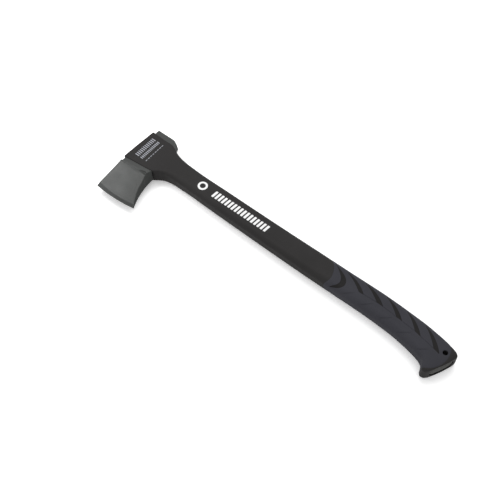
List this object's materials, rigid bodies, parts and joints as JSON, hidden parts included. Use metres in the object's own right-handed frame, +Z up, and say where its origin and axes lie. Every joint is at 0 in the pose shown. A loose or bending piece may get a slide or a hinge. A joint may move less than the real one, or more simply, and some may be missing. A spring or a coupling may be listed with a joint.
{
  "type": "splitting maul",
  "caption": "Splitting axe lying on its side: forged wedge head set in the collar of a hollow moulded handle with a soft grip, lanyard hole and end plug",
  "frame": {"origin": "under the middle of the whole tool's bounding box, on the surface it lies on", "axes": "+X from the head to the butt of the handle, +Y from the cutting edge to the poll, +Z up through the thickness"},
  "size_m": [0.6004, 0.14, 0.028],
  "materials": {
    "coated_steel": "satin",
    "handle_polymer": "matte",
    "grip_rubber": "matte",
    "plug_polymer": "matte"
  },
  "bodies": {
    "root": {"axe_head": "coated_steel", "handle_moulding": "handle_polymer", "soft_grip": "grip_rubber", "end_plug": "plug_polymer"}
  },
  "joints": []
}
